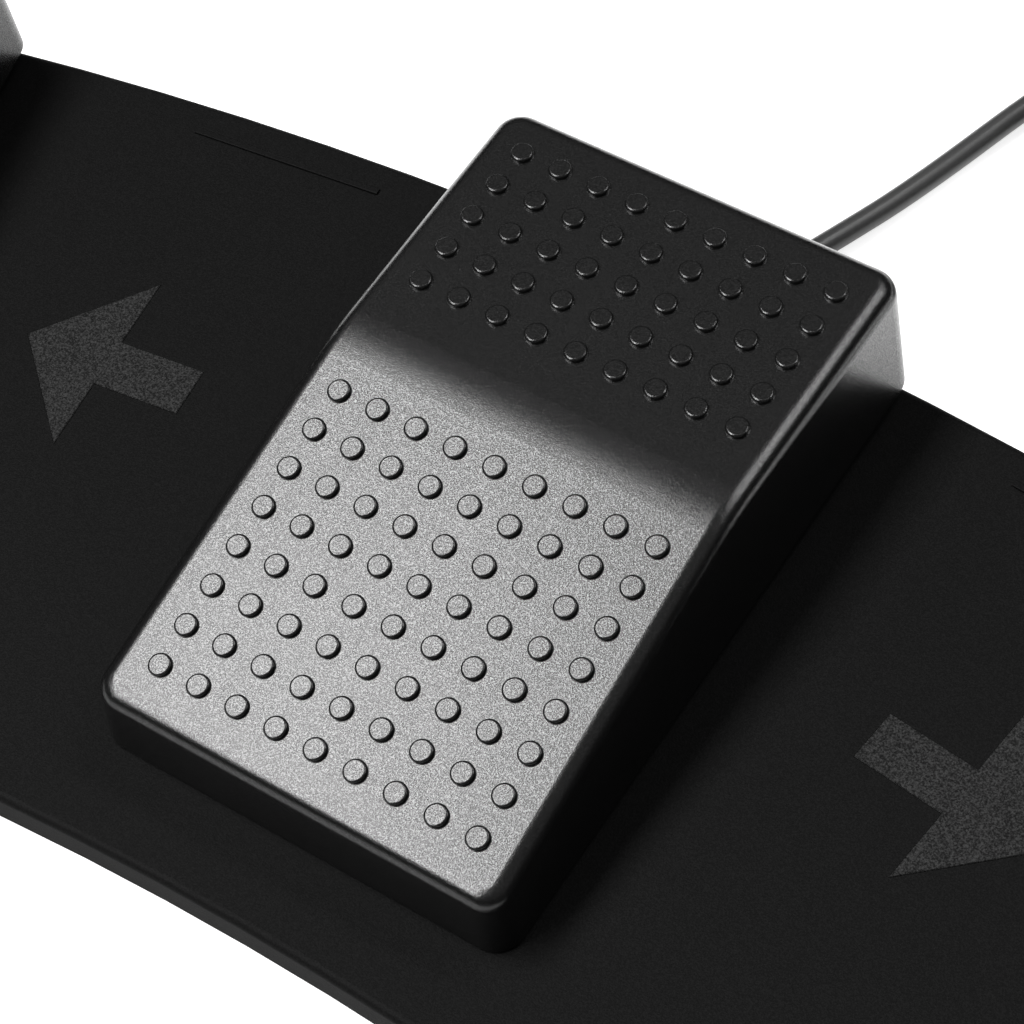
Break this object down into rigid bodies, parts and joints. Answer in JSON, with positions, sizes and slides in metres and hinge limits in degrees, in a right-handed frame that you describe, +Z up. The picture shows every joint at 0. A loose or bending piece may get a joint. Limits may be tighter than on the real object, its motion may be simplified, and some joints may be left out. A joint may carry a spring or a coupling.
{
  "type": "usb foot pedal switch",
  "caption": "Low arched base with hinged foot pedals, grip dots, arrow marks and a USB lead with plug; each pedal tips on a pin and presses a switch.",
  "frame": {"origin": "on the floor below the middle of the base, measured without the USB lead", "axes": "+X to the right as the user sees it, +Y to the rear where the lead leaves, +Z up"},
  "size_m": [0.4482, 0.2551, 0.0347],
  "materials": {
    "base_shell": "fine spark-eroded texture, satin black ABS",
    "base_plate": "plain black ABS",
    "mark": "coarse textured black inlay",
    "pedal_cover": "fine spark-eroded texture, satin black ABS",
    "tray": "plain black ABS",
    "rubber": "matt black rubber",
    "steel": "zinc-plated steel",
    "spring_steel": "spring steel wire",
    "switch_body": "dark grey phenolic",
    "switch_plunger": "red nylon",
    "terminal": "tinned brass",
    "board": "green solder mask",
    "chip": "black epoxy",
    "header": "natural nylon",
    "inner_lead": "dark PVC",
    "cable": "satin black PVC",
    "overmould": "satin black PVC",
    "plug_shell": "nickel-plated steel",
    "plug_tongue": "black PBT",
    "plug_contact": "gold-plated contact"
  },
  "bodies": {
    "base": {"base_bottom_plate": "base_plate", "base_screws": "steel", "base_top_shell": "base_shell", "board_chips": "chip", "board_headers": "header", "board_screws": "steel", "coil_tie": "rubber", "controller_board": "board", "left_direction_mark": "mark", "left_hinge_pin": "steel", "left_micro_switch": "switch_body", "left_pedal_tray": "tray", "left_return_spring": "spring_steel", "left_stop_pads": "rubber", "left_switch_lead": "inner_lead", "left_switch_screws": "steel", "left_switch_terminals": "terminal", "left_tray_screws": "steel", "middle_hinge_pin": "steel", "middle_micro_switch": "switch_body", "middle_pedal_tray": "tray", "middle_return_spring": "spring_steel", "middle_stop_pads": "rubber", "middle_switch_lead": "inner_lead", "middle_switch_screws": "steel", "middle_switch_terminals": "terminal", "middle_tray_screws": "steel", "right_direction_mark": "mark", "right_hinge_pin": "steel", "right_micro_switch": "switch_body", "right_pedal_tray": "tray", "right_return_spring": "spring_steel", "right_stop_pads": "rubber", "right_switch_lead": "inner_lead", "right_switch_screws": "steel", "right_switch_terminals": "terminal", "right_tray_screws": "steel", "rubber_feet": "rubber", "strain_relief": "overmould", "usb_board_lead": "inner_lead", "usb_cable": "cable", "usb_cable_coil": "cable", "usb_cable_tail": "cable", "usb_plug_contacts": "plug_contact", "usb_plug_overmould": "overmould", "usb_plug_shell": "plug_shell", "usb_plug_tongue": "plug_tongue"},
    "left_pedal": {"left_pedal_cover": "pedal_cover"},
    "middle_pedal": {"middle_pedal_cover": "pedal_cover"},
    "right_pedal": {"right_pedal_cover": "pedal_cover"},
    "left_plunger": {"left_switch_plunger": "switch_plunger"},
    "middle_plunger": {"middle_switch_plunger": "switch_plunger"},
    "right_plunger": {"right_switch_plunger": "switch_plunger"}
  },
  "joints": [
    {"name": "left_pedal_hinge", "type": "hinge", "parent": "base", "child": "left_pedal", "pos_m": [-0.14291, -0.04385, 0.0141], "axis": [-0.9729, -0.2314, 0], "range_deg": [0, 1], "stiffness_Nm_per_rad": 6, "springref_deg": -5.73, "deforming": ["left_return_spring"]},
    {"name": "left_plunger_slide", "type": "slide", "parent": "base", "child": "left_plunger", "axis": [0, 0, -1], "range_m": [0, 0.00055]},
    {"name": "middle_pedal_hinge", "type": "hinge", "parent": "base", "child": "middle_pedal", "pos_m": [0, -0.02709, 0.0141], "axis": [-1, 0, 0], "range_deg": [0, 1], "stiffness_Nm_per_rad": 6, "springref_deg": -5.73, "deforming": ["middle_return_spring"]},
    {"name": "middle_plunger_slide", "type": "slide", "parent": "base", "child": "middle_plunger", "axis": [0, 0, -1], "range_m": [0, 0.00055]},
    {"name": "right_pedal_hinge", "type": "hinge", "parent": "base", "child": "right_pedal", "pos_m": [0.14291, -0.04385, 0.0141], "axis": [-0.9729, 0.2314, 0], "range_deg": [0, 1], "stiffness_Nm_per_rad": 6, "springref_deg": -5.73, "deforming": ["right_return_spring"]},
    {"name": "right_plunger_slide", "type": "slide", "parent": "base", "child": "right_plunger", "axis": [0, 0, -1], "range_m": [0, 0.00055]}
  ],
  "couplings": [
    {"joint": "left_plunger_slide", "follows": "left_pedal_hinge", "m_per_rad": 0.03},
    {"joint": "middle_plunger_slide", "follows": "middle_pedal_hinge", "m_per_rad": 0.03},
    {"joint": "right_plunger_slide", "follows": "right_pedal_hinge", "m_per_rad": 0.03}
  ]
}
